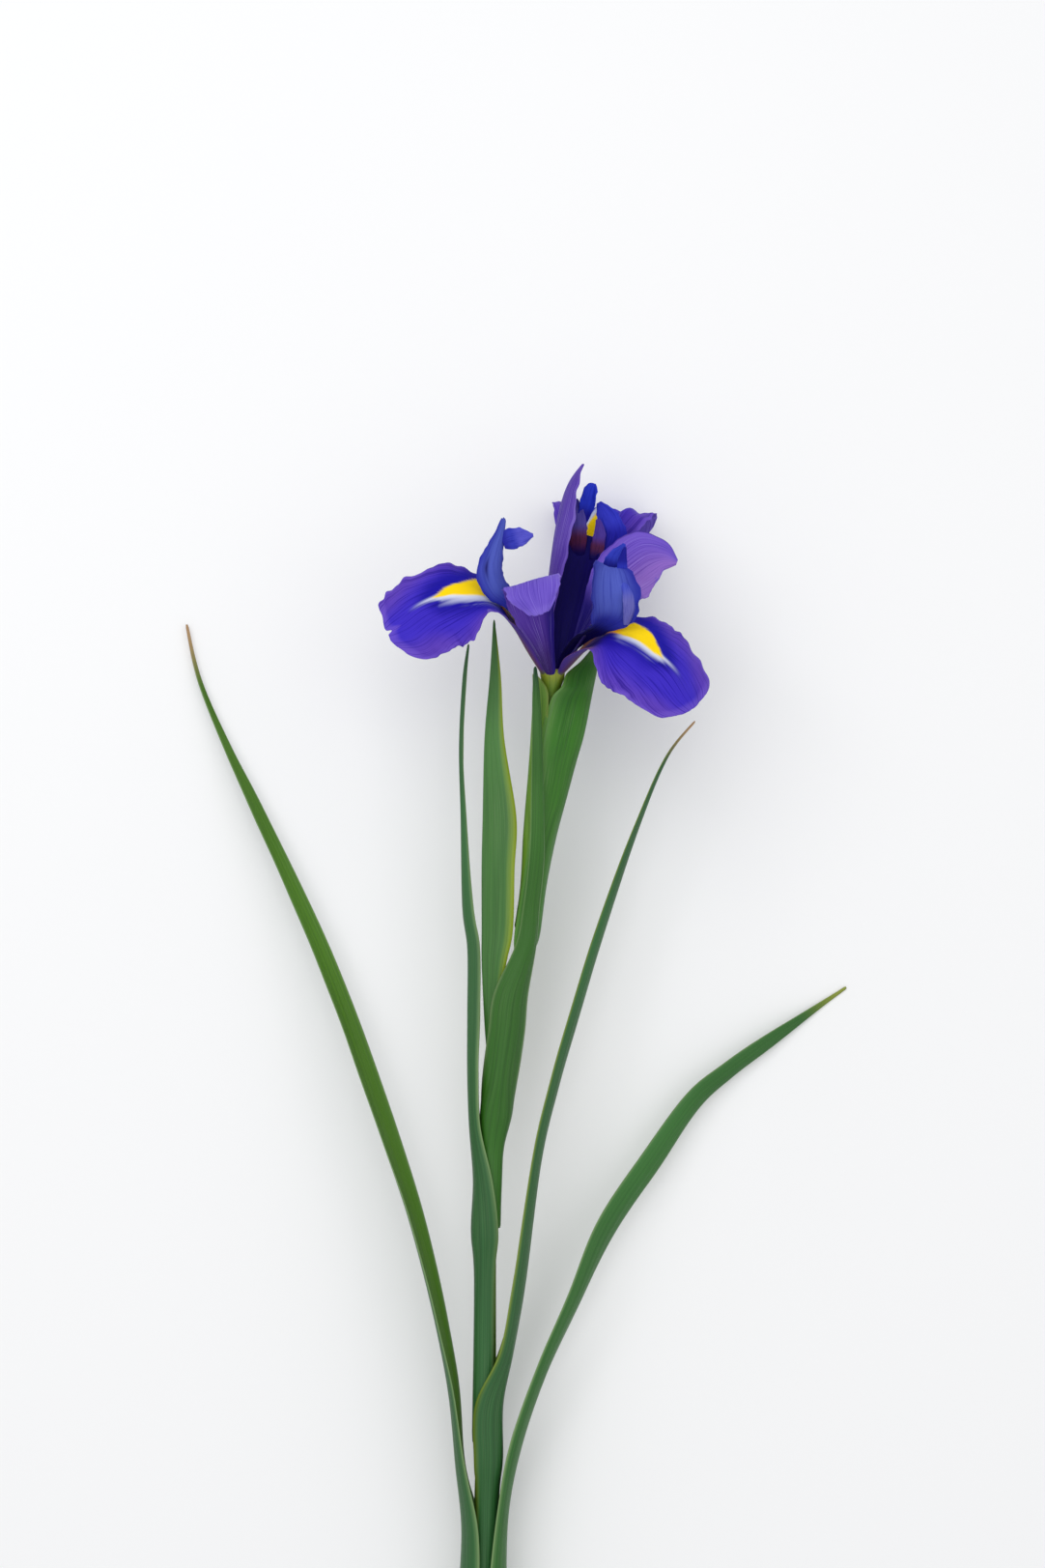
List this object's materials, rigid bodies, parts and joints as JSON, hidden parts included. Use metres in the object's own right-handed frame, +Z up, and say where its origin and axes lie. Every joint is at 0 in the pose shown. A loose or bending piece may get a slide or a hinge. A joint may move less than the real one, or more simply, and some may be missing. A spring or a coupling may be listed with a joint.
{
  "type": "iris flower",
  "caption": "Cut Dutch iris lying on its back: open violet flower with yellow signals on drooping falls, sheathed stem and slender leaves; an ornamental cut flower.",
  "frame": {"origin": "bottom centre of the whole plant's bounding box, on the surface it lies on", "axes": "+Y up the stem from the cut end to the flower, +Z up out of the surface, +X the right side seen from above with the flower at the top"},
  "size_m": [0.196, 0.4106, 0.0717],
  "materials": {
    "stem_green": "satin, fine lengthwise striations",
    "tube_green": "satin",
    "leaf_green": "satin with a faint waxy bloom, fine lengthwise veins",
    "spathe_green": "satin, fine lengthwise veins",
    "fall_violet": "matt, velvety, darker veins, yellow signal stripe",
    "standard_violet": "matt, fine parallel veins",
    "style_blue": "matt",
    "stamen_cream": "matt, powdery"
  },
  "bodies": {
    "root": {"stem": "stem_green", "ovary_tube": "tube_green", "spathe_outer": "spathe_green", "spathe_inner": "spathe_green", "leaf_left": "leaf_green", "leaf_right": "leaf_green", "leaf_middle": "leaf_green", "leaf_thin_upright": "leaf_green", "leaf_broad_upright": "leaf_green", "leaf_front_upright": "leaf_green", "fall_left": "fall_violet", "fall_right": "fall_violet", "fall_back": "fall_violet", "standard_back_left": "standard_violet", "standard_front": "standard_violet", "standard_right": "standard_violet", "style_left": "style_blue", "style_right": "style_blue", "style_back": "style_blue", "stamen_left": "stamen_cream", "stamen_right": "stamen_cream", "stamen_back": "stamen_cream"}
  },
  "joints": []
}
